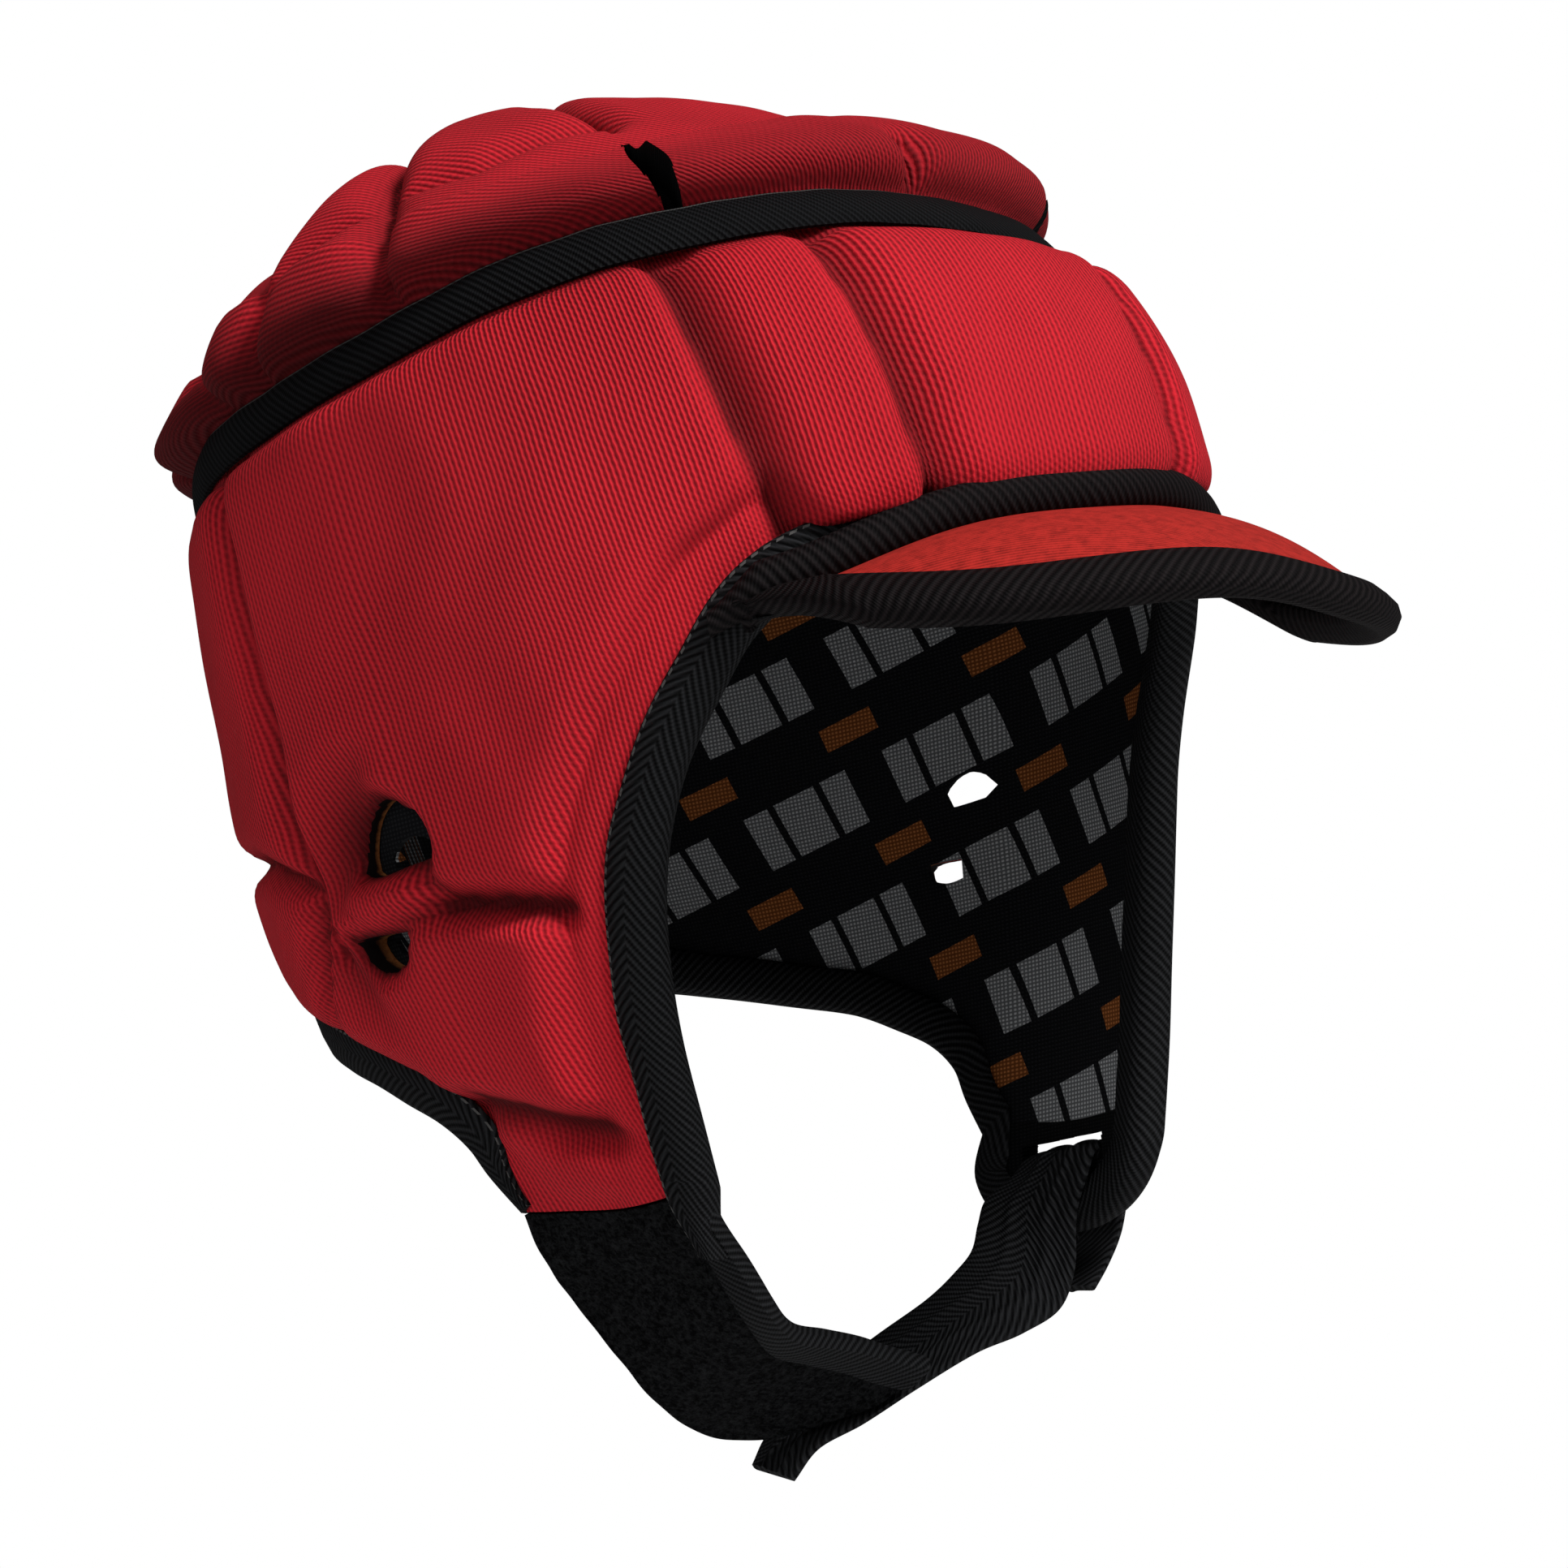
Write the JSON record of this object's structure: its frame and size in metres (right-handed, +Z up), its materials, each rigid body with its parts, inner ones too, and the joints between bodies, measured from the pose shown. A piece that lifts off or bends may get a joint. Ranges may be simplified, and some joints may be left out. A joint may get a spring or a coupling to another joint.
{
  "type": "soft surf helmet",
  "caption": "Padded cloth helmet for surfing: quilted crown, ear flaps with vents, short soft visor and a chin strap that joins a loop-pile tab.",
  "frame": {"origin": "top of the lining inside the crown, where the wearer's head carries the helmet", "axes": "+Z up as worn level, +X to the wearer's left, the face and the visor towards -Y"},
  "size_m": [0.179, 0.2627, 0.2745],
  "materials": {
    "red_knit": "fine ribbed knit, matt",
    "visor_cloth": "brushed cloth, matt",
    "visor_lining": "smooth black cloth",
    "black_tape": "twill tape, matt",
    "black_cloth": "smooth black cloth",
    "loop_pile": "loop pile, very matt",
    "webbing": "woven webbing",
    "lining_cloth": "woven lining, matt"
  },
  "bodies": {
    "root": {"shell_pad": "red_knit", "crown_pad": "red_knit", "shell_lining": "lining_cloth", "crown_lining": "lining_cloth", "crown_band": "black_tape", "face_binding": "black_tape", "neck_binding": "black_tape", "visor_top": "visor_cloth", "visor_under": "visor_lining", "visor_rim": "black_tape", "visor_seam_tape": "black_tape", "chin_tab": "loop_pile", "chin_tab_binding": "black_tape", "strap_patch": "black_cloth", "chin_strap": "webbing"}
  },
  "joints": []
}
